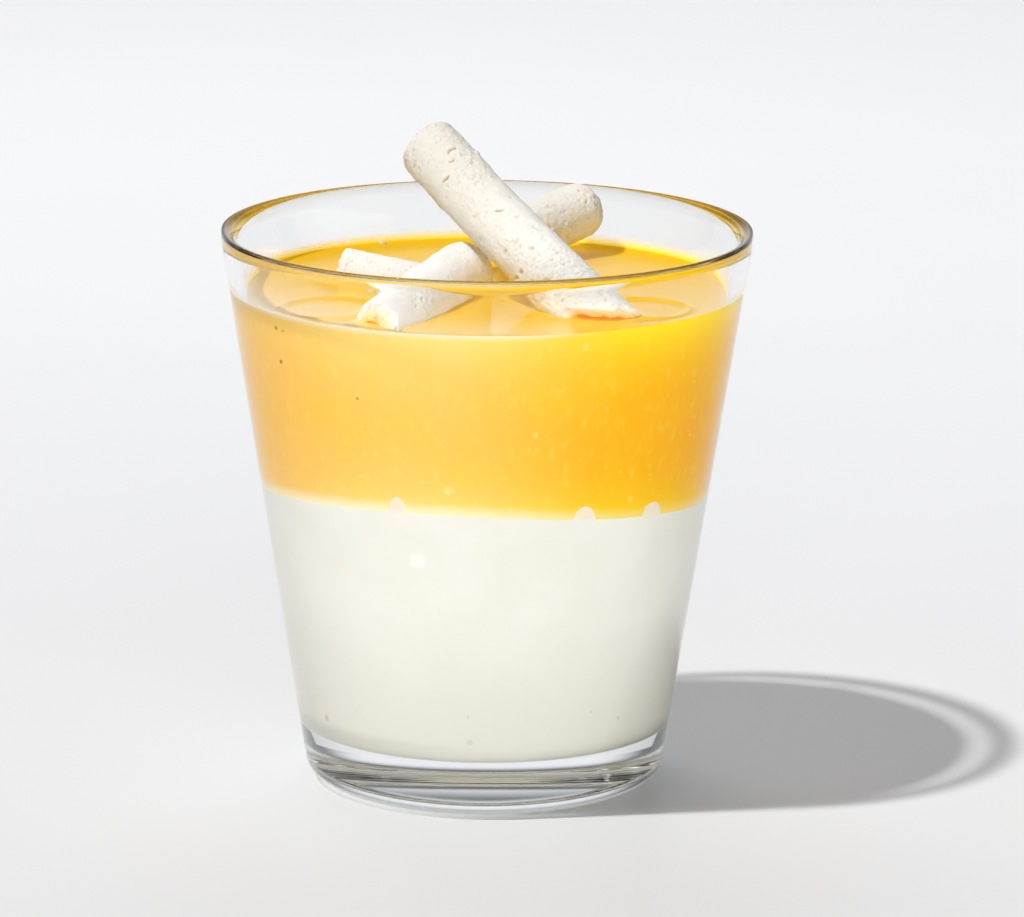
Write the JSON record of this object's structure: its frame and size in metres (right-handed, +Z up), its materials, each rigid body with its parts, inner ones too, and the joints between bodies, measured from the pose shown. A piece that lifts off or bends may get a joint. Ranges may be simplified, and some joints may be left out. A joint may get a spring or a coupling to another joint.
{
  "type": "verrine",
  "caption": "Tapered clear glass filled with panna cotta under a thick layer of fruit coulis, topped with broken meringue sticks: a chilled dessert served in its glass.",
  "frame": {"origin": "centre of the glass's foot, on the surface it stands on", "axes": "+Z up along the glass's axis, -Y towards the pictured front, +X to the right in the picture"},
  "size_m": [0.0756, 0.0756, 0.0945],
  "materials": {
    "clear_glass": "clear pressed glass, smooth, with a fire-polished round lip",
    "cream": "set cream, ivory, softly translucent",
    "coulis": "smooth fruit puree, golden yellow to orange, wet and glossy on top, with fine pulp",
    "meringue": "dry baked meringue, off-white, matt, with pores and small cracks"
  },
  "bodies": {
    "root": {"glass": "clear_glass", "panna_cotta": "cream", "fruit_coulis": "coulis", "meringue_stick_leaning": "meringue", "meringue_stick_front": "meringue", "meringue_stick_left": "meringue", "meringue_stick_back": "meringue"}
  },
  "joints": []
}
